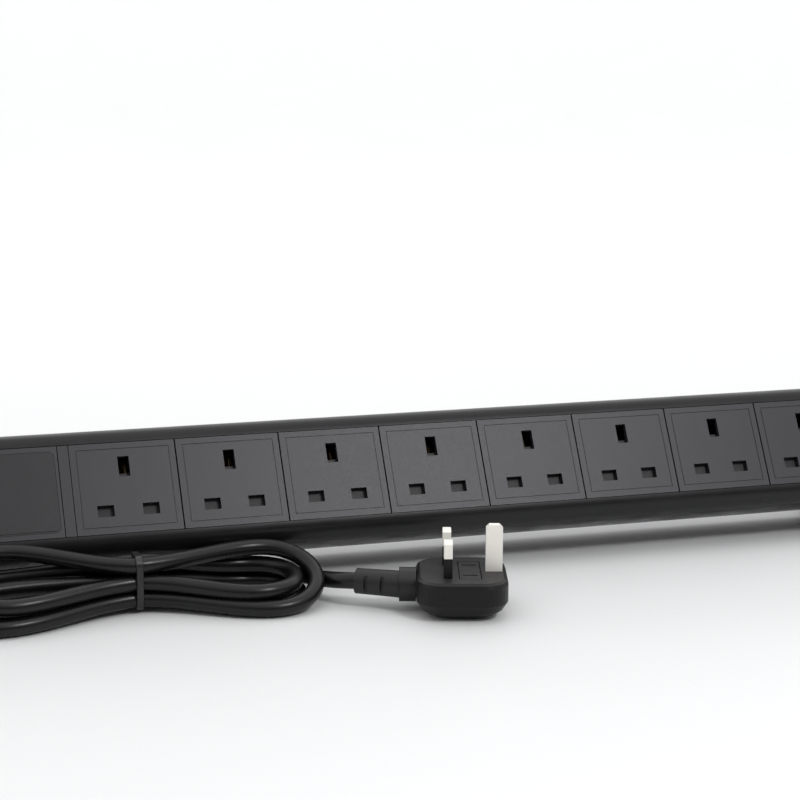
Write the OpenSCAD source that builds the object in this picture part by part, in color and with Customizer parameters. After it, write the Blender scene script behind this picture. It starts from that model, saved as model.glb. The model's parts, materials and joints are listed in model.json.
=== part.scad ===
// Rack power strip: a row of fused-plug socket outlets in a black extruded body, with a badge
// plate at one end, angled mounting feet, and a mains lead kept in a tied hank.
// +X runs along the strip, the outlets face -Y and lean back, and z = 0 is the surface below.

/* [Body] */
// Centre distance between neighbouring outlets
pitch = 52.7; // [52.5:0.1:53]
// Height of the outlet modules across the face
module_h = 46; // [45.6:0.1:46.2]
// Front-to-back depth of the extruded body
body_depth = 57; // [56:0.5:58]
// Wall thickness of the extruded body
wall = 2; // [1.8:0.1:2]
// Lean of the outlet face back from vertical, in degrees
lean = 31; // [28:0.5:32]
// Height of the body's centre above the surface below
centre_h = 37.3; // [36.5:0.1:38]

/* [Outlets] */
// Width of the earth aperture
earth_w = 5.6; // [5.4:0.1:5.8]
// Height of the earth aperture
earth_h = 10.2; // [9.8:0.1:10.4]
// Width of the live and neutral apertures
power_w = 8.2; // [7.8:0.1:8.4]
// Height of the live and neutral apertures
power_h = 5.8; // [5.4:0.1:5.8]

/* [Feet] */
// Distance that each foot reaches beyond the end cap
foot_reach = 29.8; // [28:0.1:34]
// Front-to-back size of each foot
foot_depth = 76; // [76:1:84]
// Half width of the mounting slots
slot_r = 2.75; // [2.25:0.25:3.25]
// End-to-end length of the mounting slots
slot_l = 12; // [10:0.5:14]

/* [Lead] */
// Diameter of the mains lead
cord_d = 8; // [7.6:0.2:8]
// Height of the plug from its base to its pin face
plug_h = 19; // [18.5:0.5:20]
// Turn of the plug on the surface, in degrees
plug_turn = -17; // [-18:0.5:-16]

/* [Hidden] */
$fn = 64;
outlets = 8;
outlet_numbers = [1 : outlets];

// Body section, measured from its centre line: half heights of the face and of the back
face_half = 23.4;
back_half = 20.9;
shoulder_r = 8.6;
back_r = 3;
centre_d = body_depth - 29;
// Angle at which the sides draw in towards the back
side_run = [body_depth - back_r - shoulder_r, back_half - face_half];
side_angle = asin((shoulder_r - back_r) / norm(side_run)) - atan2(side_run[1], side_run[0]);

// Layout along the strip, from its left end
strip_l = 8 * pitch + 48.8;
left_x = -strip_l / 2;
right_x = strip_l / 2;
end_gap = 2;
badge_l = 39.2;
badge_x = left_x + end_gap;
spacer_x = badge_x + badge_l + 0.4;
spacer_l = 5.1;
first_x = spacer_x + spacer_l + 0.35 + 26;
module_l = pitch - 0.7;
face_t = 3;
module_d = 14;
function outlet_x(i) = first_x + (i - 1) * pitch;

// Places of the three contacts in an outlet, across the face
earth_z = 10.73;
power_z = -11.5;
pin_gap = 22.23;
power_x = pin_gap / 2;

// End caps and feet
cap_t = 3;
plate_t = 2;
cap_out = strip_l / 2 + cap_t;
plate_out = cap_out + plate_t;
foot_out = cap_out + foot_reach;
foot_screw_y = 19.5;
window_r = 13;
screw_r = 1.4;
ports = [[12.5, 26], [12.5, -26], [body_depth - 5.6, 18], [body_depth - 5.6, -18]];

// Lead and what is on it
cord_r = cord_d / 2;
boot_x = -cap_out - 57.8;
plug_pos = [-11.4, -101, 0];
plug_body_l = 43.5;
plug_body_w = 49;
plug_left = -26;
cord_z = 12;
boot_turn = -15;
hank_ends = [-228, -102];
hank_y = -65.5;
hank_r = 26.5;
waist_r = 12;
waist_y = -54.5;
hank_tops = [38, 28];
waist_z = [2, 27];
waist_l = 12;
tie_x = -164;

// Route of the lead from the strain relief to the hank, and of the tail to the plug
lead_route = [[-296, 0, 37.3], [-304, 0, 37.2], [-314, -1, 36], [-325, -4, 32.6], [-334, -10, 27],
    [-340, -19, 20], [-341, -30, 13.4], [-336.5, -41, 8.2], [-327, -49.5, 5], [-314, -54.5, 4.2],
    [-300, -57.5, 5], [-285, -59.5, 7.6], [-269, -60.5, 10.6], [-252, -60, 12.8]];
tail_route = [[-76, -62, 9.2], [-71.5, -69, 10.2], [-67.5, -75.5, 11.4], [-61.75, -80, 12]];

// Frames ---------------------------------------------------------------------------------------

// Puts a shape drawn square to the strip (x along, y into the body, z across the face) in place
module leaned() {
    translate([0, 0, centre_h]) rotate([-lean, 0, 0]) translate([0, -centre_d, 0]) children();
}

// Extrudes a section drawn as [depth, height] along x, from x0 for a length l
module along(x0, l) {
    translate([x0, 0, 0]) rotate([90, 0, 90]) linear_extrude(l) children();
}

// Box from one corner to the other
module box(low, high) {
    translate(low) cube(high - low);
}

// Cylinder along x between x0 and x1, centred on [y, z]
module rod_x(x0, x1, y, z, r, r2 = -1) {
    translate([x0, y, z]) rotate([0, 90, 0]) cylinder(h = x1 - x0, r1 = r, r2 = r2 < 0 ? r : r2);
}

module at_outlet(i) {
    leaned() translate([outlet_x(i), 0, 0]) children();
}

module at_plug() {
    translate(plug_pos) rotate(plug_turn) children();
}

// Rectangle from one corner to the other with round corners
module round_rect(low, high, r) {
    for (x = [low[0] + r, high[0] - r], y = [low[1] + r, high[1] - r]) translate([x, y]) circle(r);
    translate([low[0] + r, low[1]]) square([high[0] - low[0] - 2 * r, high[1] - low[1]]);
    translate([low[0], low[1] + r]) square([high[0] - low[0], high[1] - low[1] - 2 * r]);
}

// Round tube of 8 to 12 sides swept along a route
function unit(v) = v / norm(v);
function heading(p, i) = unit(p[min(i + 1, len(p) - 1)] - p[max(i - 1, 0)]);
function ring(p, i, r, n) =
    let (t = heading(p, i), side = unit(cross([0, 0, 1], t)), up = cross(t, side))
    [for (k = [0 : n - 1]) p[i] + r * (cos(360 * k / n) * side + sin(360 * k / n) * up)];

module tube(p, r, n) {
    last = (len(p) - 1) * n;
    points = [for (i = [0 : len(p) - 1]) each ring(p, i, r, n)];
    sides = [for (i = [0 : len(p) - 2], k = [0 : n - 1]) let (m = (k + 1) % n)
        [i * n + k, (i + 1) * n + k, (i + 1) * n + m, i * n + m]];
    first_end = [for (k = [0 : n - 1]) k];
    last_end = [for (k = [n - 1 : -1 : 0]) last + k];
    polyhedron(points, concat(sides, [first_end], [last_end]));
}

// Body -----------------------------------------------------------------------------------------

// Section of the body as [depth, height], drawn in by inset
module outline(inset = 0) {
    a = shoulder_r - inset;
    b = back_r - inset;
    cs = cos(side_angle);
    sn = sin(side_angle);
    upper = [[inset, face_half], [shoulder_r + a * sn, face_half + a * cs],
        [body_depth - back_r + b * sn, back_half + b * cs], [body_depth - inset, back_half]];
    for (s = [-1, 1]) {
        translate([shoulder_r, s * face_half]) circle(a);
        translate([body_depth - back_r, s * back_half]) circle(b);
    }
    polygon(concat(upper, [for (i = [3 : -1 : 0]) [upper[i][0], -upper[i][1]]]));
}

module housing() {
    color([0.13, 0.13, 0.14]) leaned() difference() {
        union() {
            difference() {
                along(left_x, strip_l) outline();
                along(left_x - 1, strip_l + 2) outline(wall);
                box([left_x - 1, -1, 0.05 - face_half], [right_x + 1, wall + 1, face_half - 0.05]);
            }
            for (p = ports) screw_port(p);
        }
        for (p = ports) rod_x(left_x - 1, right_x + 1, p[0], p[1], screw_r);
    }
}

// Round screw channel with a web to the nearest wall
module screw_port(p) {
    rod_x(left_x, right_x, p[0], p[1], 3);
    side = sign(p[1]);
    if (p[0] < centre_d)
        box([left_x, p[0] - 1, min(side * 26, side * 30)], [right_x, p[0] + 1, max(side * 26, side * 30)]);
    else
        box([left_x, p[0], p[1] - 1], [right_x, body_depth - 1, p[1] + 1]);
}

// End cap drawn at the right end; the left one is its mirror image
module end_cap() {
    inner = strip_l / 2;
    color([0.1, 0.1, 0.11]) leaned() difference() {
        union() {
            along(inner, cap_t) outline();
            box([inner - 1.6, 0, -22.8], [inner + 1, face_t, 22.8]);
        }
        for (p = ports) {
            rod_x(inner - 1, cap_out + 1, p[0], p[1], 1.7);
            rod_x(cap_out - 1.4, cap_out + 0.01, p[0], p[1], 1.7, 3.1);
        }
        rod_x(inner - 2, cap_out + 1, centre_d, 0, 8.2);
        for (s = [-1, 1]) foot_screw_hole(inner - 1, cap_out + 1, s, 1.95);
    }
}

// Hole or shank for a foot screw, placed level with the body's centre
module foot_screw_hole(x0, x1, s, r) {
    y = centre_d + s * foot_screw_y * cos(lean);
    rod_x(x0, x1, y, s * foot_screw_y * sin(lean), r);
}

module end_cap_left() {
    mirror([1, 0, 0]) end_cap();
}

module end_cap_right() {
    end_cap();
    color([0.1, 0.1, 0.11]) leaned() rod_x(strip_l / 2 + 0.6, cap_out - 0.6, centre_d, 0, 8.2);
}

module end_cap_screws() {
    color([0.55, 0.55, 0.57]) for (m = [0, 1]) mirror([m, 0, 0]) leaned() for (p = ports) {
        rod_x(strip_l / 2 - 8, cap_out - 0.2, p[0], p[1], screw_r - 0.05);
        rod_x(cap_out - 1.4, cap_out - 0.2, p[0], p[1], 1.5, 2.7);
    }
}

// Feet -----------------------------------------------------------------------------------------

// Angled foot drawn at the right end: a plate against the cap and a flange on the surface
module foot() {
    color([0.12, 0.12, 0.13]) difference() {
        union() {
            along(cap_out, plate_t) difference() {
                union() {
                    translate([0, centre_h]) circle(27);
                    polygon([[-foot_depth / 2, 0], [foot_depth / 2, 0], [foot_depth / 2, 3],
                        [22, centre_h - 15.65], [22, centre_h], [-22, centre_h],
                        [-22, centre_h - 15.65], [-foot_depth / 2, 3]]);
                }
                translate([0, centre_h]) circle(window_r);
                for (s = [-1, 1]) translate([s * foot_screw_y, centre_h]) circle(2.2);
            }
            linear_extrude(plate_t) difference() {
                translate([cap_out, -foot_depth / 2])
                    round_rect([-8, 0], [foot_reach, foot_depth], 6);
                translate([cap_out - 10, -foot_depth / 2]) square([10, foot_depth]);
            }
        }
        for (s = [-1, 1]) foot_slot(s * 28);
    }
}

foot_slot_x = cap_out + 16;

module foot_slot(y) {
    translate([0, 0, -1]) linear_extrude(plate_t + 2)
        round_rect([foot_slot_x - slot_l / 2, y - slot_r], [foot_slot_x + slot_l / 2, y + slot_r],
            slot_r - 0.001);
}

module foot_left() {
    mirror([1, 0, 0]) foot();
}

module foot_right() {
    foot();
}

module foot_screws() {
    color([0.5, 0.5, 0.52]) for (m = [0, 1]) mirror([m, 0, 0]) leaned() for (s = [-1, 1]) {
        foot_screw_hole(strip_l / 2 + 0.2, plate_out + 0.5, s, 1.9);
        difference() {
            foot_screw_hole(plate_out + 0.05, plate_out + 2.2, s, 3.6);
            translate([0, centre_d + s * foot_screw_y * cos(lean), s * foot_screw_y * sin(lean)])
                box([plate_out + 1, -0.5, -3], [plate_out + 3, 0.5, 3]);
        }
    }
}

// Face modules ---------------------------------------------------------------------------------

// Plate from x0 to x1 with clips that sit behind the lips of the body
module face_plate(x0, x1, clip) {
    half = module_h / 2;
    box([x0, 0, -half], [x1, face_t, half]);
    for (s = [-1, 1]) {
        a = s * (half - 0.4);
        b = s * (half + 1.5);
        box([x0 + clip, wall + 0.4, min(a, b)], [x1 - clip, wall + 1.6, max(a, b)]);
    }
}

badge_half = [18, 20.4];
badge_centre = badge_x + badge_l - 1.6 - badge_half[0];

// Shape of the badge plate, grown by g
module badge_shape(g) {
    translate([badge_centre, 0, 0])
        round_rect([-badge_half[0] - g, -badge_half[1] - g], [badge_half[0] + g, badge_half[1] + g], 3 + g);
}

// Lays a shape drawn in x and z into the face, between two depths
module into_face(d0, d1) {
    translate([0, d1, 0]) rotate([90, 0, 0]) linear_extrude(d1 - d0) children();
}

module badge_bezel() {
    color([0.16, 0.16, 0.17]) leaned() difference() {
        union() {
            face_plate(badge_x, badge_x + badge_l, 4);
            box([badge_x + 1, face_t - 0.5, -19], [badge_x + badge_l - 1, 9, 19]);
        }
        into_face(-1, 2.2) badge_shape(0.15);
        box([badge_x + 2.5, 3, -17.5], [badge_x + badge_l - 2.5, 10, 17.5]);
    }
}

module badge_plate() {
    color([0.05, 0.05, 0.06]) leaned() {
        into_face(0, 2.2) badge_shape(0);
        into_face(-0.4, 0) badge_shape(-0.8);
    }
}

module blank_spacer() {
    color([0.3, 0.3, 0.32]) leaned() face_plate(spacer_x, spacer_x + spacer_l, 0.3);
}

// Apertures of one outlet as [x, z] shapes
module aperture_shapes() {
    translate([-earth_w / 2, earth_z - earth_h / 2]) square([earth_w, earth_h]);
    for (s = [-1, 1])
        translate([s * power_x - power_w / 2, power_z - power_h / 2]) square([power_w, power_h]);
}

// Moulded outlet: face with its three apertures, side walls, and guides for the shutter
module socket(i) {
    half_l = module_l / 2;
    half_h = module_h / 2;
    inset = 2.9;
    line = 0.6;
    color([0.3, 0.3, 0.33]) at_outlet(i) difference() {
        union() {
            face_plate(-half_l, half_l, 4);
            difference() {
                box([1 - half_l, face_t - 0.5, -22.6], [half_l - 1, module_d, 22.6]);
                box([2.2 - half_l, face_t, -21.4], [half_l - 2.2, module_d + 1, 21.4]);
            }
            for (s = [-1, 1]) shutter_guide(s);
        }
        into_face(-1, face_t + 1) aperture_shapes();
        into_face(-0.1, 0.35) difference() {
            square([2 * (half_l - inset), 2 * (half_h - inset)], center = true);
            square([2 * (half_l - inset - line), 2 * (half_h - inset - line)], center = true);
        }
    }
}

module shutter_guide(s) {
    box([s * 18.4 - 0.5, face_t - 0.5, -21.8], [s * 18.4 + 0.5, 6.4, -6]);
    box([s * 17.4 - 1, 5.4, -21.8], [s * 17.4 + 1, 6.4, -6]);
}

shutter_travel = 6.4;

// Sliding shutter behind the face: covers the live and neutral apertures, and carries the ramp
// that an earth pin pushes down
module shutter(i) {
    color([0.1, 0.1, 0.1]) at_outlet(i) {
        difference() {
            box([-17.5, 3.35, -14.8], [17.5, 5.05, -8.2]);
            box([-1.4, 3, -15], [1.4, 6, -9.4]);
        }
        box([-2.6, 3.35, -8.4], [2.6, 5.05, 7.9]);
        along(-2.6, 5.2) polygon([[5, 0.5], [8.4, 3.5], [8.4, 4.3], [5, 7.9]]);
    }
}

module shutter_springs() {
    color([0.75, 0.75, 0.76]) for (i = outlet_numbers) at_outlet(i) difference() {
        for (k = [0 : 5]) translate([0, 4.2, -21.3 + 0.85 * k]) cylinder(h = 0.65, r = 0.8);
        translate([0, 4.2, -22]) cylinder(h = 8, r = 0.45);
    }
}

// Power inside ---------------------------------------------------------------------------------

bar_left = -214;
bar_right = outlet_x(outlets) + 15;
bar_t = 1;
live_bar = [20, -7.5, -2.5];
neutral_bar = [20, -20.5, -15.5];
earth_bar = [24, 15, 20];

// Flat bar given as [depth, low z, high z]
module bar(b) {
    box([bar_left, b[0], b[1]], [bar_right, b[0] + bar_t, b[2]]);
}

// Pair of leaves that grip a flat pin, above and below it
module power_clip(x, b, tab_low, tab_high) {
    box([x - 3, b[0], tab_low], [x + 3, b[0] + bar_t, tab_high]);
    for (s = [-1, 1])
        box([x - 3, 9.5, power_z + s * 2.4 - 0.4], [x + 3, b[0] + bar_t, power_z + s * 2.4 + 0.4]);
}

module busbar_live() {
    color([0.8, 0.62, 0.3]) leaned() {
        bar(live_bar);
        for (i = outlet_numbers) power_clip(outlet_x(i) + power_x, live_bar, -14.3, -2.5);
    }
}

module busbar_neutral() {
    color([0.8, 0.62, 0.3]) leaned() {
        bar(neutral_bar);
        for (i = outlet_numbers) power_clip(outlet_x(i) - power_x, neutral_bar, -20.5, -8.7);
    }
}

module busbar_earth() {
    color([0.8, 0.62, 0.3]) leaned() {
        bar(earth_bar);
        for (i = outlet_numbers) {
            box([outlet_x(i) - 3.2, earth_bar[0], 6.7], [outlet_x(i) + 3.2, earth_bar[0] + bar_t, 20]);
            for (s = [-1, 1])
                box([outlet_x(i) + s * 2.4 - 0.4, 12, 6.7],
                    [outlet_x(i) + s * 2.4 + 0.4, earth_bar[0] + bar_t, 14.7]);
        }
    }
}

// Slot for a bar, open to the front and a little wider than the bar
module bar_slot(b, x0, x1) {
    box([x0, 10, b[1] - 0.1], [x1, b[0] + bar_t, b[2] + 0.1]);
}

// Insulating tray behind the bars, with a rib between neighbouring outlets
module busbar_tray() {
    color([0.7, 0.68, 0.62]) leaned() difference() {
        union() {
            box([-192, 25.4, -21], [233, 27.4, 21]);
            for (i = [0 : outlets]) {
                x = first_x + (i - 0.5) * pitch;
                box([x - 1.2, 14.4, -21], [x + 1.2, 26, 21]);
            }
        }
        for (b = [live_bar, neutral_bar, earth_bar]) bar_slot(b, -193, 234);
    }
}

// Strap that bonds the earth bar to the metal body
module earth_bond_strap() {
    color([0.8, 0.62, 0.3]) leaned() {
        box([-198.5, earth_bar[0], 20], [-194, earth_bar[0] + bar_t, 26.2]);
        box([-198.5, earth_bar[0] + bar_t, 25.2], [-194, earth_bar[0] + 6, 26.2]);
    }
}

terminals = [[-5, 20.5], [-18, 20.5], [17.5, 24.5]];

module terminal_block() {
    color([0.85, 0.85, 0.82]) leaned() difference() {
        box([-221, 16, -21.5], [-201, 29, 21.5]);
        for (b = [live_bar, neutral_bar, earth_bar])
            box([bar_left - 0.3, b[0] - 0.1, b[1] - 0.1], [-200, b[0] + bar_t + 0.1, b[2] + 0.1]);
        for (t = terminals) {
            rod_x(-222, bar_left, t[1], t[0], 1.6);
            rod_x(-222, -218.4, t[1], t[0], 3.4, 1.6);
            translate([-217.5, 15, t[0]]) rotate([-90, 0, 0]) cylinder(h = t[1] - 15, r = 1.5);
        }
    }
}

module terminal_screws() {
    color([0.6, 0.6, 0.6]) leaned() for (t = terminals)
        translate([-217.5, 15.2, t[0]]) rotate([-90, 0, 0]) difference() {
            cylinder(h = t[1] - 1.5 - 15.2, r = 1.4);
            translate([-2, -0.3, -1]) cube([4, 0.6, 1.6]);
        }
}

// Insulated core from the end of the sheath to its terminal
module core(t, start) {
    a = [-231, centre_d + start[0], start[1]];
    b = [-219.2, t[1], t[0]];
    leaned() tube([for (k = [0 : 12]) let (u = k / 12, bend = u * u * (3 - 2 * u))
        [a[0] + (b[0] - a[0]) * u, a[1] + (b[1] - a[1]) * bend, a[2] + (b[2] - a[2]) * bend]], 1.1, 8);
}

module core_live() {
    color([0.45, 0.25, 0.12]) core(terminals[0], [1.4, -0.8]);
}

module core_neutral() {
    color([0.2, 0.35, 0.75]) core(terminals[1], [-1.4, -0.8]);
}

module core_earth() {
    color([0.35, 0.7, 0.25]) core(terminals[2], [0, 1.6]);
}

// Cable entry ----------------------------------------------------------------------------------

module cable_gland() {
    color([0.08, 0.08, 0.08]) leaned() difference() {
        union() {
            rod_x(left_x + 0.2 - 4, left_x + 4, centre_d, 0, 8);
            translate([-cap_out - 6, centre_d, 0]) rotate([0, 90, 0]) cylinder(h = 6, r = 12.6, $fn = 6);
            rod_x(-cap_out - 15, -cap_out - 5.9, centre_d, 0, 8.4);
        }
        rod_x(-cap_out - 20, left_x + 8, centre_d, 0, cord_r + 0.1);
    }
}

module gland_nut() {
    color([0.09, 0.09, 0.09]) leaned() difference() {
        union() {
            translate([-cap_out - 14, centre_d, 0]) rotate([0, 90, 0]) cylinder(h = 7.8, r = 12, $fn = 6);
            rod_x(-cap_out - 19.8, -cap_out - 14, centre_d, 0, 7.6, 10.2);
        }
        rod_x(-cap_out - 15.1, -cap_out, centre_d, 0, 8.5);
        rod_x(-cap_out - 21, -cap_out, centre_d, 0, cord_r + 0.1);
    }
}

module gland_locknut() {
    color([0.15, 0.15, 0.15]) leaned() difference() {
        translate([left_x + 0.1, centre_d, 0]) rotate([0, 90, 0]) cylinder(h = 3, r = 11, $fn = 6);
        rod_x(left_x - 1, left_x + 5, centre_d, 0, 8.1);
    }
}

// Tapered boot that carries the lead away from the gland
module strain_relief() {
    color([0.06, 0.06, 0.06]) leaned() difference() {
        rod_x(boot_x, -cap_out - 19.8, centre_d, 0, 5.2, 7.4);
        rod_x(boot_x - 1, -cap_out - 19, centre_d, 0, cord_r + 0.1);
        for (k = [0 : 3]) difference() {
            rod_x(boot_x + 6 + 7 * k, boot_x + 8 + 7 * k, centre_d, 0, 10);
            rod_x(boot_x + 5 + 7 * k, boot_x + 9 + 7 * k, centre_d, 0, 4.9);
        }
    }
}

module lead_sheath() {
    color([0.05, 0.05, 0.05]) leaned() rod_x(boot_x, -231.5, centre_d, 0, cord_r);
}

// Lead, hank and plug --------------------------------------------------------------------------

module cord_lead() {
    color([0.05, 0.05, 0.05]) tube(lead_route, cord_r, 10);
}

module cord_tail() {
    color([0.05, 0.05, 0.05]) tube(tail_route, cord_r, 10);
}

// The hank's outer shape: two round ends drawn in to a waist, which the tie holds off the surface
module cord_hank() {
    color([0.06, 0.06, 0.06]) difference() {
        union() {
            for (k = [0, 1]) hank_end(k);
            box([tie_x - 30, waist_y - waist_r, 0], [tie_x + 30, waist_y + waist_r, waist_z[1]]);
        }
        box([tie_x - waist_l, -120, -1], [tie_x + waist_l, 0, waist_z[0]]);
    }
}

// Round end of the hank and its taper towards the waist
module hank_end(k) {
    s = k == 0 ? 1 : -1;
    run = tie_x - s * waist_l - hank_ends[k];
    waist = waist_y - hank_y;
    translate([hank_ends[k], hank_y, 0]) linear_extrude(hank_tops[k]) {
        circle(hank_r);
        polygon([[0, 3 - hank_r], [s * 14, 4 - hank_r], [run, waist - waist_r - 1],
            [run, waist + waist_r - 0.5], [s * 14, hank_r - 4], [0, hank_r - 3]]);
    }
}

module cable_tie() {
    tie_w = 3.6;
    tie_t = 1.2;
    low = [waist_y - waist_r, waist_z[0]];
    high = [waist_y + waist_r, waist_z[1]];
    color([0.04, 0.04, 0.04]) along(tie_x - tie_w / 2, tie_w) difference() {
        round_rect([low[0] - tie_t, low[1] - tie_t], [high[0] + tie_t, high[1] + tie_t], 2);
        translate(low) square(high - low);
    }
}

// Plan of the plug, drawn in by inset
module plug_plan(inset) {
    round_rect([plug_left + inset, inset - plug_body_w / 2],
        [plug_left + plug_body_l - inset, plug_body_w / 2 - inset], 12 - inset / 2);
}

fuse_z = plug_h - 5.8;

// Sections of the plug body as [height, inset]: a round underside, and a soft edge to the face
plug_sections = [[0, 9], [1.4, 5.6], [4, 2.4], [8, 0], [plug_h - 3, 0], [plug_h - 1.4, 0.6],
    [plug_h - 0.4, 2]];

module plug_body() {
    color([0.09, 0.09, 0.1]) at_plug() difference() {
        hull() for (section = plug_sections)
            translate([0, 0, section[0]]) linear_extrude(0.4) plug_plan(section[1], $fn = 32);
        box([-5.9, -14.9, fuse_z - 5.2], [4.9, 14.9, plug_h + 1]);
        pin_sockets();
        rod_x(plug_left - 1, plug_left + 8, 0, cord_z, cord_r + 0.1);
    }
}

// Sockets in the plug body that hold the pins
module pin_sockets() {
    box([pin_gap / 2 - 4, -2, 8], [pin_gap / 2 + 4, 2, plug_h + 1]);
    for (s = [-1, 1])
        box([-pin_gap / 2 - 1.5, s * power_x - 2.65, 8], [-pin_gap / 2 + 1.5, s * power_x + 2.65, plug_h + 1]);
}

// Axis of the slotted boot, which follows the tail a little off the plug's own line
module boot_frame() {
    translate([plug_left - 8, 0, cord_z]) rotate(boot_turn) children();
}

// Collar and slotted boot where the tail enters the plug
module plug_strain_relief() {
    color([0.08, 0.08, 0.08]) at_plug() difference() {
        union() {
            rod_x(plug_left - 8, plug_left, 0, cord_z, 8.2);
            boot_frame() rod_x(-21, 1.5, 0, 0, 6.1, 6.5);
        }
        rod_x(plug_left - 9, plug_left + 1, 0, cord_z, cord_r + 0.1);
        boot_frame() rod_x(-22, 2.5, 0, 0, cord_r + 0.1);
        boot_frame() for (x = [-16, -8], m = [0, 1]) mirror([0, m, 0]) box([x, 4.6, -4.5], [x + 1.8, 9, 4.5]);
    }
}

// Pin tip profile as [across, up], with bevelled corners
module pin_profile(half, low, high, bevel) {
    polygon([[-half, low], [half, low], [half, high - bevel], [half - bevel, high],
        [bevel - half, high], [-half, high - bevel]]);
}

module plug_pin_earth() {
    color([0.85, 0.83, 0.76]) at_plug() translate([pin_gap / 2, 2, 0]) rotate([90, 0, 0])
        linear_extrude(4) pin_profile(4, 8, plug_h + 22.7, 1.6);
}

module power_pin(s) {
    at_plug() translate([-pin_gap / 2, s * power_x, 0]) {
        translate([-2, 0, 0]) rotate([90, 0, 90]) linear_extrude(4)
            pin_profile(3.175, plug_h + 9.5, plug_h + 17.7, 1.3);
        box([-1.5, -2.65, 8], [1.5, 2.65, plug_h + 9.6]);
    }
}

module plug_pin_live() {
    color([0.85, 0.83, 0.76]) power_pin(-1);
}

module plug_pin_neutral() {
    color([0.85, 0.83, 0.76]) power_pin(1);
}

module plug_pin_sleeves() {
    color([0.03, 0.03, 0.03]) at_plug() for (s = [-1, 1])
        translate([-pin_gap / 2, s * power_x, 0]) difference() {
            box([-2, -3.175, plug_h], [2, 3.175, plug_h + 9.5]);
            box([-1.5, -2.65, plug_h - 1], [1.5, 2.65, plug_h + 10]);
        }
}

// Carrier that lifts out of the pin face with the fuse in it
module plug_fuse_carrier() {
    color([0.12, 0.12, 0.12]) at_plug() difference() {
        box([-5.5, -14.5, fuse_z - 3.8], [4.5, 14.5, plug_h]);
        translate([-0.5, 13.2, fuse_z]) rotate([90, 0, 0]) cylinder(h = 26.4, r = 3.25);
        box([-3.4, -13.2, fuse_z - 5], [2.4, 13.2, fuse_z]);
        box([-4, 8, plug_h - 0.5], [3, 9.2, plug_h + 1]);
        box([-4, -9.2, plug_h - 0.5], [3, -8, plug_h + 1]);
    }
}

module plug_fuse() {
    color([0.85, 0.85, 0.8]) at_plug() translate([-0.5, 12.7, fuse_z]) rotate([90, 0, 0]) {
        cylinder(h = 25.4, r = 2.9);
        for (z = [0, 19.4]) translate([0, 0, z]) cylinder(h = 6, r = 3.15);
    }
}

module plug_fuse_contacts() {
    color([0.8, 0.62, 0.3]) at_plug() for (s = [-1, 1])
        box([-3.5, s * 10.5 - 2.5, fuse_z - 5.1], [2.5, s * 10.5 + 2.5, fuse_z - 4.2]);
}

housing();
end_cap_left();
end_cap_right();
end_cap_screws();
foot_left();
foot_right();
foot_screws();
badge_bezel();
badge_plate();
blank_spacer();
for (i = outlet_numbers) socket(i);
for (i = outlet_numbers) shutter(i);
shutter_springs();
busbar_live();
busbar_neutral();
busbar_earth();
busbar_tray();
earth_bond_strap();
terminal_block();
terminal_screws();
core_live();
core_neutral();
core_earth();
cable_gland();
gland_nut();
gland_locknut();
strain_relief();
lead_sheath();
cord_lead();
cord_hank();
cord_tail();
cable_tie();
plug_body();
plug_strain_relief();
plug_pin_earth();
plug_pin_live();
plug_pin_neutral();
plug_pin_sleeves();
plug_fuse_carrier();
plug_fuse();
plug_fuse_contacts();
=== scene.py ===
import json
import math

import bpy
from mathutils import Matrix, Vector


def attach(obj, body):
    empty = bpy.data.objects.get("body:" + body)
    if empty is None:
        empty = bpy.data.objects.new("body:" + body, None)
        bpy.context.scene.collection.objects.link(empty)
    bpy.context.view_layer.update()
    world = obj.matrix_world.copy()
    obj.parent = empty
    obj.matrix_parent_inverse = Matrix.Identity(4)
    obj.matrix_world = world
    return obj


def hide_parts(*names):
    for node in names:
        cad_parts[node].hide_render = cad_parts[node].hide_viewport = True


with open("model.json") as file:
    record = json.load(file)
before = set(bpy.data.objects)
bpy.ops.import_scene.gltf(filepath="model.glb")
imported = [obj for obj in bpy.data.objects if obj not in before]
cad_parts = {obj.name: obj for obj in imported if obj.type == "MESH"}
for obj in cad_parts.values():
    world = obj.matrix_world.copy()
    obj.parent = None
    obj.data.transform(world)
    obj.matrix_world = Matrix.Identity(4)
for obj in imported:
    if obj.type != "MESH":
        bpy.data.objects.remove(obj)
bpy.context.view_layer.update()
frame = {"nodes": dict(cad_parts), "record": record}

MM = 0.001
NODES = frame["nodes"]

# Camera: its place, turn about Z, tilt below the horizon and roll, and its lens and sensor in mm
CAMERA_PLACE = (-0.340, -1.0177, 0.3048)
CAMERA_YAW, CAMERA_TILT, CAMERA_ROLL = 17.71, 11.79, 0.40
CAMERA_LENS, SENSOR_WIDTH = 95.4, 36

# The floor, in metres: half its side, and how far it lies below z = 0
FLOOR_HALF, FLOOR_DROP = 45, 0.0004

# Lights: name, place, the point faced, the two sides in metres, and the power in watts
LIGHTS = [
    ("back_top", (0.1, 1.25, 1.15), (0, 0.1, 0), (2.6, 1.0), 3.5),
    ("top", (0.1, -0.1, 1.6), (0, 0, 0), (1.6, 0.7), 1),
    ("front_soft", (0.42, -0.98, 1.05), (0.02, 0, 0.04), (0.28, 0.24), 6.5),
]

# The world: the direction its light is measured along, where it fades in, and its two strengths
SKY_AXIS = (0.0, 0.62, 0.78)
SKY_FADE = (-0.6, 0.5)
SKY_STRENGTH = (0.04, 1.12)

# The part of a noise's range that is spread over the whole of what it drives
NOISE_RANGE = (0.3, 0.7)

# Rounded edges: their width in mm, the badge plate's, and the least angle that counts as an edge
EDGE_WIDTH, BADGE_EDGE_WIDTH, EDGE_ANGLE = 0.25, 0.6, 40

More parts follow.
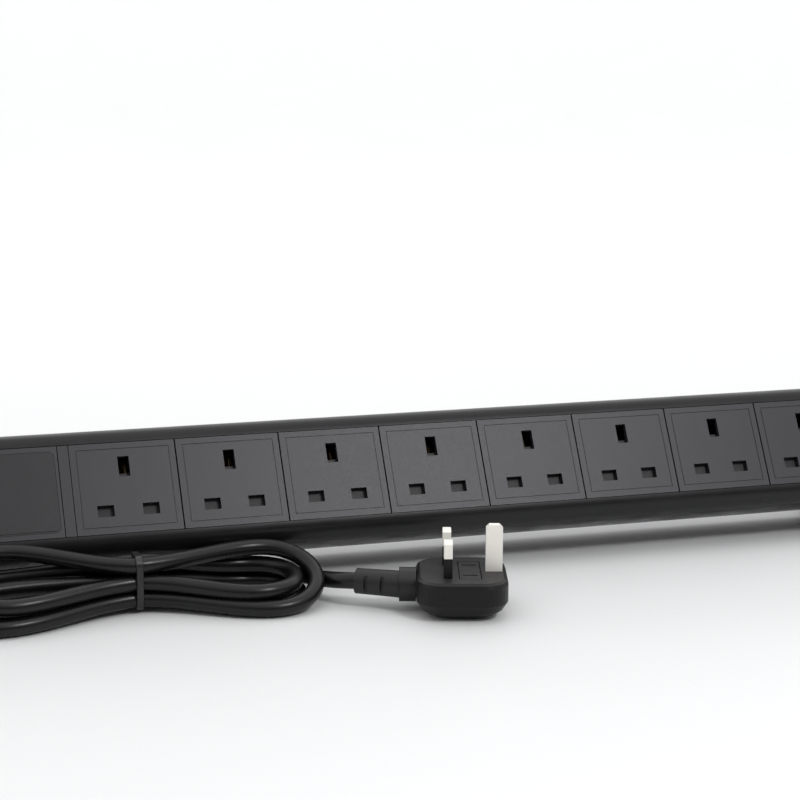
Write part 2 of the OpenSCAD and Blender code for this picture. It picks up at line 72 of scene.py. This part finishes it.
# The lead: diameter, and the stretches that part.scad gives, in millimetres
CORD_D = 8.0
LEAD = [(-296, 0, 37.3), (-304, 0, 37.2), (-314, -1, 36), (-325, -4, 32.6), (-334, -10, 27),
        (-340, -19, 20), (-341, -30, 13.4), (-336.5, -41, 8.2), (-327, -49.5, 5), (-314, -54.5, 4.2),
        (-300, -57.5, 5), (-285, -59.5, 7.6), (-269, -60.5, 10.6), (-252, -60, 12.8)]
TAIL = [(-76, -62, 9.2), (-71.5, -69, 10.2), (-67.5, -75.5, 11.4), (-61.75, -80, 12)]

# The hank: where its tie is, where its runs stand under the tie (y, z), and its folds. A fold is
# its two runs, the end it is at (1 right, -1 left), where its arc begins and ends across the hank
# (y, z), and the x at which the arc starts.
TIE_X = -164
RUNS = {"front_top": (-61.8, 22.6), "front_mid": (-62.4, 14.4), "front_low": (-61.8, 6.2),
        "back_top": (-53.6, 22.2), "back_mid": (-54, 14.2), "back_low": (-53.6, 6.2),
        "tail": (-46.2, 9)}
FOLDS = [
    ("back_mid", "back_low", 1, (-38, 4.2), (-79.6, 4), -106),
    ("back_low", "back_top", -1, (-77, 4.2), (-42, 16), -229),
    ("back_top", "front_mid", 1, (-42, 13.6), (-83, 11), -108),
    ("front_mid", "front_top", -1, (-80, 12.6), (-46, 30), -229),
    ("front_top", "front_low", 1, (-45, 22.7), (-88, 4), -101.5),
    ("front_low", "tail", -1, (-83, 4), (-42, 4), -231),
]
LEAD_TO_HANK = [(-236, -57.6, 14.2), (-218, -55.4, 14.6), (-196, -54, 14.2), (-178, -54, 14.2)]
HANK_TO_TAIL = [(-146, -42, 5.6), (-128, -34, 4.4), (-108, -30, 4.2), (-93, -32, 4.4),
                (-83, -38.5, 5.2), (-77.5, -49, 7)]

# How the route is drawn: points on a run (as parts of the way from the tie to the fold's arc),
# steps round an arc, millimetres between points, rounds of smoothing, and what the smoothing
# leaves alone: points at each end, and millimetres on each side of the tie
RUN_STEPS = (0.06, 0.28, 0.5, 0.72, 0.9)
ARC_STEPS = 8
ROUTE_STEP = 3.0
RELAX_ROUNDS, HELD_ENDS, TIE_HOLD = 6, 4, 6

# The tie, in mm: points round its band, the band's width, thickness, bevel and gap from the lead;
# then its lock's half width, how far it goes into and behind the band, its foot and its height
TIE_POINTS, TIE_WIDTH, TIE_THICK, TIE_BEVEL, TIE_GAP = 120, 3.4, 1.1, 0.3, 0.1
LOCK_HALF, LOCK_INSIDE, LOCK_BEHIND, LOCK_FOOT, LOCK_HEIGHT = 2.6, 3.4, 1.4, 9, 4.4


def metres(point):
    return Vector(point) * MM


# Camera, floor and lights -----------------------------------------------------------------------


def make_camera():
    camera = bpy.data.objects.new("camera", bpy.data.cameras.new("camera"))
    bpy.context.collection.objects.link(camera)
    camera.data.lens = CAMERA_LENS
    camera.data.sensor_width = SENSOR_WIDTH
    camera.matrix_world = (Matrix.Translation(CAMERA_PLACE)
                           @ Matrix.Rotation(math.radians(-CAMERA_YAW), 4, "Z")
                           @ Matrix.Rotation(math.radians(90 - CAMERA_TILT), 4, "X")
                           @ Matrix.Rotation(math.radians(CAMERA_ROLL), 4, "Z"))
    bpy.context.scene.camera = camera


def make_floor():
    verts = [(x * FLOOR_HALF, y * FLOOR_HALF, -FLOOR_DROP) for y in (-1, 1) for x in (-1, 1)]
    mesh = bpy.data.meshes.new("floor")
    mesh.from_pydata(verts, [], [(0, 1, 3, 2)])
    floor = bpy.data.objects.new("floor", mesh)
    bpy.context.collection.objects.link(floor)
    mesh.materials.append(floor_material())


def area_light(name, place, aim, size, power):
    light = bpy.data.lights.new(name, "AREA")
    light.shape = "RECTANGLE"
    light.size, light.size_y = size
    light.energy = power
    lamp = bpy.data.objects.new(name, light)
    bpy.context.collection.objects.link(lamp)
    lamp.location = place
    lamp.rotation_euler = (Vector(aim) - Vector(place)).to_track_quat("-Z", "Y").to_euler()


def make_lights():
    for light in LIGHTS:
        area_light(*light)
    make_world()
    bpy.context.scene.view_settings.view_transform = "Standard"


def make_world():
    """White above and behind the strip, falling to dark low in front of it, like a lit cove."""
    world = bpy.data.worlds.new("world")
    world.use_nodes = True
    tree = world.node_tree
    direction = tree.nodes.new("ShaderNodeTexCoord").outputs["Generated"]
    fade = tree.nodes.new("ShaderNodeVectorMath")
    fade.operation = "DOT_PRODUCT"
    fade.inputs[1].default_value = SKY_AXIS
    tree.links.new(direction, fade.inputs[0])
    spread = tree.nodes.new("ShaderNodeMapRange")
    spread.interpolation_type = "SMOOTHSTEP"
    set_range(spread, SKY_FADE, SKY_STRENGTH)
    tree.links.new(fade.outputs["Value"], spread.inputs["Value"])
    tree.nodes["Background"].inputs["Color"].default_value = (1, 1, 1, 1)
    tree.links.new(spread.outputs[0], tree.nodes["Background"].inputs["Strength"])
    bpy.context.scene.world = world


def set_range(node, source, target=(0, 1)):
    """Sets the range that a Map Range node reads, and the one that it gives."""
    for socket, value in zip(("From Min", "From Max", "To Min", "To Max"), (*source, *target)):
        node.inputs[socket].default_value = value


# Materials --------------------------------------------------------------------------------------


class Shader:
    """A material's node tree, with short calls for the nodes that the materials here share."""

    def __init__(self, name, colour, roughness, metallic=0.0, **sockets):
        self.material = bpy.data.materials.new(name)
        self.material.use_nodes = True
        self.tree = self.material.node_tree
        self.bsdf = self.tree.nodes["Principled BSDF"]
        self.colour = colour
        self.set("Base Color", (*colour, 1))
        self.set("Roughness", roughness)
        self.set("Metallic", metallic)
        for socket, value in sockets.items():
            self.set(socket.replace("_", " "), value)

    def set(self, socket, value):
        self.bsdf.inputs[socket].default_value = value

    def node(self, kind, **settings):
        made = self.tree.nodes.new(kind)
        for key, value in settings.items():
            setattr(made, key, value)
        return made

    def link(self, a, b):
        self.tree.links.new(a, b)

    def noise(self, scale, detail=2.0, stretch=(1, 1, 1)):
        place = self.node("ShaderNodeTexCoord").outputs["Object"]
        mapping = self.node("ShaderNodeMapping")
        mapping.inputs["Scale"].default_value = stretch
        texture = self.node("ShaderNodeTexNoise")
        texture.inputs["Scale"].default_value = scale
        texture.inputs["Detail"].default_value = detail
        self.link(place, mapping.inputs["Vector"])
        self.link(mapping.outputs[0], texture.inputs["Vector"])
        return texture.outputs["Fac"]

    def spread(self, value, source, target=(0, 1), **settings):
        """Maps value from the range source to the range target."""
        spread = self.node("ShaderNodeMapRange", **settings)
        set_range(spread, source, target)
        self.link(value, spread.inputs["Value"])
        return spread.outputs[0]

    def blend(self, value, a, b):
        """Colours the surface from a to b as value goes from 0 to 1."""
        mix = self.node("ShaderNodeMix", data_type="RGBA")
        mix.inputs["A"].default_value = (*a, 1)
        mix.inputs["B"].default_value = (*b, 1)
        self.link(value, mix.inputs["Factor"])
        self.link(mix.outputs["Result"], self.bsdf.inputs["Base Color"])

    def vary_colour(self, value, amount):
        darker = [c * (1 - amount) for c in self.colour]
        lighter = [min(1, c * (1 + amount)) for c in self.colour]
        self.blend(value, darker, lighter)

    def vary_roughness(self, value, low, high):
        self.link(self.spread(value, NOISE_RANGE, (low, high)), self.bsdf.inputs["Roughness"])

    def bump(self, value, depth, strength):
        """Raises the surface by value, at most depth in millimetres."""
        bump = self.node("ShaderNodeBump")
        bump.inputs["Distance"].default_value = depth * MM
        bump.inputs["Strength"].default_value = strength
        self.link(value, bump.inputs["Height"])
        self.link(bump.outputs[0], self.bsdf.inputs["Normal"])


def floor_material():
    """Pale sweep: painted shade makes it a little greyer round the strip, and painted light makes it
    white further back.
    """
    # painted shade and painted light: the first tone is the greyer floor close to the strip, the
    # second the whiter floor further back
    painted_shade_tone, painted_light_tone = (0.735, 0.74, 0.745), (0.95, 0.955, 0.96)
    s = Shader("floor", (0.93, 0.935, 0.94), 0.35, Specular_IOR_Level=0.25)
    s.vary_roughness(s.noise(6), 0.3, 0.42)
    parts = s.node("ShaderNodeSeparateXYZ")
    s.link(s.node("ShaderNodeTexCoord").outputs["Object"], parts.inputs[0])
    s.blend(s.spread(parts.outputs["Y"], (0.0, 1.4), interpolation_type="SMOOTHSTEP"), painted_shade_tone, painted_light_tone)
    return s.material


def anodised(name, colour, roughness):
    """Extruded aluminium: fine lines along the strip under a satin coat."""
    s = Shader(name, colour, roughness, 0.1, Specular_IOR_Level=0.3)
    lines = s.noise(900, detail=3, stretch=(0.02, 1, 1))
    s.vary_roughness(s.noise(60, detail=3), roughness - 0.05, roughness + 0.06)
    s.vary_colour(s.noise(40, detail=4), amount=0.12)
    s.bump(lines, depth=0.02, strength=0.35)
    return s.material


def moulded(name, colour, roughness, grain=0.03, scale=2600):
    """Moulded plastic: fine spark texture, with a faint unevenness of shade."""
    s = Shader(name, colour, roughness, Specular_IOR_Level=0.4)
    s.bump(s.noise(scale), depth=grain, strength=0.6)
    s.vary_colour(s.noise(1500), amount=0.16)
    s.vary_roughness(s.noise(1900), roughness - 0.04, roughness + 0.05)
    return s.material


def glossy(name, colour, roughness, coat=0.3, marks=0.06):
    """Gloss plastic or resin with slight waviness and faint handling marks."""
    s = Shader(name, colour, roughness, Coat_Weight=coat, Coat_Roughness=0.12)
    s.bump(s.noise(140), depth=0.8 * marks, strength=0.3)
    s.vary_roughness(s.noise(220, detail=5), roughness - marks, roughness + marks)
    s.vary_colour(s.noise(30), amount=0.08)
    return s.material


def plated(name, colour, roughness, metallic=1.0):
    """Plated or rolled metal with fine handling scratches."""
    along = (1, 1, 0.1)
    s = Shader(name, colour, roughness, metallic)
    s.vary_roughness(s.noise(700, detail=4, stretch=along), roughness - 0.06, roughness + 0.1)
    s.vary_colour(s.noise(120, detail=3), amount=0.06)
    s.bump(s.noise(1500, stretch=along), depth=0.01, strength=0.25)
    return s.material


def plug_plastic():
    """Satin black moulding, with painted light making its upward-facing pin face paler than its
    sides.
    """
    # painted light: the second tone, for faces pointing up such as the pin face, is paler than the
    # sides
    sides, painted_top_light = (0.004, 0.004, 0.0042), (0.02, 0.0195, 0.02)
    s = Shader("plug_black", sides, 0.42, Specular_IOR_Level=0.28)
    s.bump(s.noise(2200), depth=0.035, strength=0.6)
    parts = s.node("ShaderNodeSeparateXYZ")
    s.link(s.node("ShaderNodeTexCoord").outputs["Normal"], parts.inputs[0])
    s.blend(s.spread(parts.outputs["Z"], (0.75, 0.98)), sides, painted_top_light)
    s.vary_roughness(s.noise(300, detail=3), 0.4, 0.5)
    return s.material


def powder_coat(name, colour):
    """Powder-coated steel or alloy: a fine orange-peel surface."""
    s = Shader(name, colour, 0.5, Specular_IOR_Level=0.4)
    s.bump(s.noise(1100), depth=0.06, strength=0.5)
    s.vary_colour(s.noise(50, detail=3), amount=0.1)
    return s.material


def striped_core():
    """Green core insulation with its yellow stripe."""
    green, yellow = (0.1, 0.4, 0.06), (0.8, 0.7, 0.05)
    s = Shader("core_green", green, 0.4)
    wave = s.node("ShaderNodeTexWave", bands_direction="Z")
    wave.inputs["Scale"].default_value = 300
    s.link(s.node("ShaderNodeTexCoord").outputs["Object"], wave.inputs["Vector"])
    s.blend(wave.outputs["Fac"], green, yellow)
    return s.material


def cord_material():
    """PVC sheath: soft gloss, with shallow waves and scuffs along it."""
    s = Shader("cord_black", (0.004, 0.004, 0.0042), 0.26, Specular_IOR_Level=0.34)
    s.vary_roughness(s.noise(260, detail=3), 0.27, 0.34)
    s.vary_colour(s.noise(80, detail=4), amount=0.2)
    s.bump(s.noise(300), depth=0.02, strength=0.2)
    return s.material


def make_materials():
    return {
        "body_black": anodised("body_black", (0.011, 0.011, 0.0115), 0.32),
        "cap_black": powder_coat("cap_black", (0.03, 0.03, 0.031)),
        "foot_black": powder_coat("foot_black", (0.04, 0.04, 0.042)),
        "screw_steel": plated("screw_steel", (0.5, 0.5, 0.52), 0.3),
        "socket_grey": moulded("socket_grey", (0.02, 0.02, 0.025), 0.4, 0.05),
        "bezel_grey": moulded("bezel_grey", (0.02, 0.02, 0.025), 0.4, 0.05),
        "spacer_grey": moulded("spacer_grey", (0.017, 0.017, 0.021), 0.4, 0.05),
        "badge_gloss": glossy("badge_gloss", (0.009, 0.009, 0.0115), 0.2, 0.15, 0.01),
        "shutter_black": moulded("shutter_black", (0.006, 0.006, 0.006), 0.5),
        "spring_steel": plated("spring_steel", (0.6, 0.6, 0.62), 0.25),
        "bar_brass": plated("bar_brass", (0.34, 0.24, 0.11), 0.45),
        "tray_cream": moulded("tray_cream", (0.6, 0.58, 0.5), 0.5),
        "core_brown": glossy("core_brown", (0.16, 0.06, 0.03), 0.4),
        "core_blue": glossy("core_blue", (0.04, 0.12, 0.45), 0.4),
        "core_green": striped_core(),
        "gland_black": moulded("gland_black", (0.02, 0.02, 0.021), 0.4, 0.02),
        "relief_rubber": moulded("relief_rubber", (0.009, 0.009, 0.0095), 0.45, 0.04, 1800),
        "cord_black": cord_material(),
        "tie_black": glossy("tie_black", (0.008, 0.0075, 0.009), 0.32, 0.1),
        "plug_black": plug_plastic(),
        "pin_nickel": plated("pin_nickel", (0.93, 0.9, 0.84), 0.38, 0.25),
        "fuse_ceramic": glossy("fuse_ceramic", (0.78, 0.76, 0.7), 0.2),
    }


def paint_nodes(materials):
    slots = {part["node"]: part["material_slot"] for part in frame["record"]["subparts"]}
    for name, node in NODES.items():
        material = materials[slots[name]]
        if node.data.materials:
            for slot in node.material_slots:
                slot.material = material
        else:
            node.data.materials.append(material)
        soften(node, BADGE_EDGE_WIDTH if name == "badge_plate" else EDGE_WIDTH)


def soften(node, width):
    """A fine rounded edge on a hard node, so that its edges catch the light."""
    bevel = node.modifiers.new("edge", "BEVEL")
    bevel.width = width * MM
    bevel.segments = 2
    bevel.limit_method = "ANGLE"
    bevel.angle_limit = math.radians(EDGE_ANGLE)
    bevel.harden_normals = False


# The lead ---------------------------------------------------------------------------------------


def smooth(u):
    return u * u * (3 - 2 * u)


def run_point(run, edge, arc_x, u):
    """The point of a run that is a part u of the way from the tie to its fold's arc."""
    across = Vector(RUNS[run]).lerp(Vector(edge), smooth(u))
    return TIE_X + (arc_x - TIE_X) * u, across[0], across[1]


def fold_points(fold):
    """Points of one fold: out from the tie, round its arc, and back to the tie."""
    first, last, side, start, end, arc_x = fold
    middle = (Vector(start) + Vector(end)) / 2
    half = (Vector(start) - Vector(end)) / 2
    points = [run_point(first, start, arc_x, u) for u in RUN_STEPS]
    for k in range(ARC_STEPS + 1):
        a = math.pi * k / ARC_STEPS
        across = middle + half * math.cos(a)
        points.append((arc_x + side * half.length * math.sin(a), across[0], across[1]))
    return points + [run_point(last, end, arc_x, u) for u in reversed(RUN_STEPS)]


def lead_route():
    """The lead's whole route in millimetres, from the boot at the strip to the one at the plug."""
    points = LEAD + LEAD_TO_HANK
    for fold in FOLDS:
        points += fold_points(fold)
    return points + HANK_TO_TAIL + TAIL


def spline_through(points):
    """A centripetal curve through the points, sampled about every ROUTE_STEP, and evened out."""
    p = [Vector(q) for q in points]
    p = [2 * p[0] - p[1]] + p + [2 * p[-1] - p[-2]]
    out = []
    for i in range(1, len(p) - 2):
        t = [0.0]
        for k in range(3):
            t.append(t[-1] + max((p[i + k] - p[i + k - 1]).length, 0.01) ** 0.5)
        count = max(1, round((p[i + 1] - p[i]).length / ROUTE_STEP))
        for k in range(count):
            s = t[1] + (t[2] - t[1]) * k / count
            a = [(p[i - 1 + j] * (t[j + 1] - s) + p[i + j] * (s - t[j])) / (t[j + 1] - t[j])
                 for j in range(3)]
            b = [(a[j] * (t[j + 2] - s) + a[j + 1] * (s - t[j])) / (t[j + 2] - t[j])
                 for j in range(2)]
            out.append((b[0] * (t[2] - s) + b[1] * (s - t[1])) / (t[2] - t[1]))
    out.append(p[-2])
    return relax(out)


def relax(points):
    """Evens the curve out, as a stiff lead does, with its ends and the tie held."""
    for _ in range(RELAX_ROUNDS):
        last = len(points) - HELD_ENDS - 1
        points = [q if i < HELD_ENDS or i > last or abs(q.x - TIE_X) < TIE_HOLD
                  else (points[i - 1] + 2 * q + points[i + 1]) / 4
                  for i, q in enumerate(points)]
    return points


def make_cord(materials):
    points = spline_through(lead_route())
    curve = bpy.data.curves.new("mains_lead", "CURVE")
    curve.dimensions = "3D"
    curve.bevel_depth = CORD_D / 2 * MM
    curve.bevel_resolution = 5
    curve.use_fill_caps = True
    spline = curve.splines.new("POLY")
    spline.points.add(len(points) - 1)
    for target, q in zip(spline.points, points):
        target.co = (*metres(q), 1)
    curve.materials.append(materials["cord_black"])
    lead = bpy.data.objects.new("mains_lead", curve)
    bpy.context.collection.objects.link(lead)
    length = sum((b - a).length for a, b in zip(points, points[1:])) * MM
    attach(lead, "chassis")
    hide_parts("cord_lead", "cord_hank", "cord_tail")
    return lead, length, points


def make_tie(points, material):
    """The tie's band, drawn tight round the runs that pass through it, with its lock at the back."""
    runs = []
    for p, q in zip(points, points[1:]):
        if (p.x - TIE_X) * (q.x - TIE_X) < 0:
            across = p.lerp(q, (TIE_X - p.x) / (q.x - p.x))
            runs.append(Vector((across.y, across.z)))
    half = TIE_WIDTH / 2
    section = [(-half, TIE_GAP), (half, TIE_GAP), (half, TIE_THICK - TIE_BEVEL),
               (half - TIE_BEVEL, TIE_THICK), (TIE_BEVEL - half, TIE_THICK),
               (-half, TIE_THICK - TIE_BEVEL)]
    n = len(section)
    verts, faces = [], []
    for k in range(TIE_POINTS):
        a = 2 * math.pi * k / TIE_POINTS
        out = Vector((math.cos(a), math.sin(a)))
        seat = max(runs, key=lambda run: run.dot(out))
        for x, r in section:
            place = seat + out * (CORD_D / 2 + r)
            verts.append(metres((TIE_X + x, place.x, place.y)))
        for i in range(n):
            j, step = (i + 1) % n, (k + 1) % TIE_POINTS
            faces.append((k * n + i, k * n + j, step * n + j, step * n + i))
    add_lock(runs, verts, faces)
    mesh = bpy.data.meshes.new("tie_band")
    mesh.from_pydata(verts, [], faces)
    mesh.materials.append(material)
    mesh.update()
    tie = bpy.data.objects.new("tie_band", mesh)
    bpy.context.collection.objects.link(tie)
    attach(tie, "chassis")
    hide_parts("cable_tie")
    return tie


def add_lock(runs, verts, faces):
    """The small box at the back of the band that its tail is pulled through."""
    back = max(run.x for run in runs) + CORD_D / 2
    x0, x1 = TIE_X - LOCK_HALF, TIE_X + LOCK_HALF
    y0, y1 = back - LOCK_INSIDE, back + LOCK_BEHIND
    first = len(verts)
    for z in (LOCK_FOOT, LOCK_FOOT + LOCK_HEIGHT):
        for x, y in ((x0, y0), (x1, y0), (x1, y1), (x0, y1)):
            verts.append(metres((x, y, z)))
    for face in ((3, 2, 1, 0), (4, 5, 6, 7), (0, 1, 5, 4), (1, 2, 6, 5), (2, 3, 7, 6), (3, 0, 4, 7)):
        faces.append(tuple(first + i for i in face))


make_camera()
materials = make_materials()
lead, lead_length, lead_points = make_cord(materials)
tie = make_tie(lead_points, materials["tie_black"])
make_floor()
make_lights()
paint_nodes(materials)
